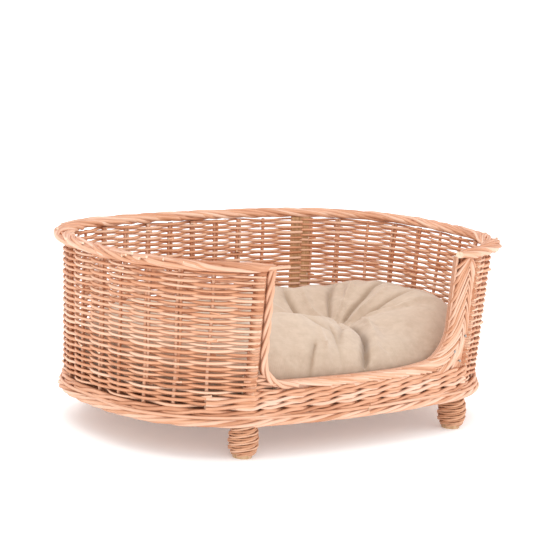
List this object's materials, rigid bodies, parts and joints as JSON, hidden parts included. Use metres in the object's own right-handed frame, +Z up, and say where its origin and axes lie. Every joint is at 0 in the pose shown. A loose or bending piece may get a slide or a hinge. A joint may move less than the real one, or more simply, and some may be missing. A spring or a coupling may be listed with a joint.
{
  "type": "wicker pet bed basket",
  "caption": "Oval woven willow pet bed on wound wooden feet, with a low entry cut in the front wall and a loose tufted cushion inside.",
  "frame": {"origin": "on the floor, in the middle of the basket's overall length and width", "axes": "+X along the basket's length, to the right as seen facing the entry; +Y from the entry to the back wall; +Z up"},
  "size_m": [0.736, 0.4809, 0.29],
  "materials": {
    "willow_weave": "stripped buff willow weavers, low sheen",
    "willow_stakes": "stripped buff willow rods, low sheen",
    "willow_base": "stripped buff willow, matt",
    "willow_border": "stripped buff willow rods, soft sheen",
    "wood_slat": "planed softwood lath, matt",
    "wood_peg": "turned softwood, matt",
    "willow_winding": "fine willow skeins, low sheen",
    "steel_fixings": "zinc-plated steel, satin",
    "cotton_cover": "plain-weave cotton canvas, matt",
    "cushion_fibre": "polyester fibre filling, matt",
    "tuft_thread": "waxed cotton thread, matt"
  },
  "bodies": {
    "basket": {"back_slat": "wood_slat", "base_cross_sticks": "willow_base", "base_long_sticks": "willow_base", "base_weave": "willow_base", "foot_border": "willow_border", "foot_peg_back_left": "wood_peg", "foot_peg_back_right": "wood_peg", "foot_peg_front_left": "wood_peg", "foot_peg_front_right": "wood_peg", "foot_dowels": "wood_peg", "foot_winding_back_left": "willow_winding", "foot_winding_back_right": "willow_winding", "foot_winding_front_left": "willow_winding", "foot_winding_front_right": "willow_winding", "front_wale": "willow_weave", "left_jamb_post": "willow_stakes", "left_jamb_rope": "willow_border", "plait_nails": "steel_fixings", "right_jamb_plait": "willow_border", "right_jamb_post": "willow_stakes", "rim_border": "willow_border", "siding_back": "willow_weave", "siding_left_end": "willow_weave", "siding_right_end": "willow_weave", "sill_plait": "willow_border", "stakes_back": "willow_stakes", "stakes_front": "willow_stakes", "stakes_left_end": "willow_stakes", "stakes_right_end": "willow_stakes", "upsett_wale": "willow_weave"},
    "cushion": {"cushion_cover": "cotton_cover", "cushion_filling": "cushion_fibre", "cushion_tuft_ties": "tuft_thread"}
  },
  "joints": [
    {"name": "cushion_lift", "type": "slide", "parent": "basket", "child": "cushion", "axis": [0, 0, 1], "range_m": [0, 0.4]}
  ]
}
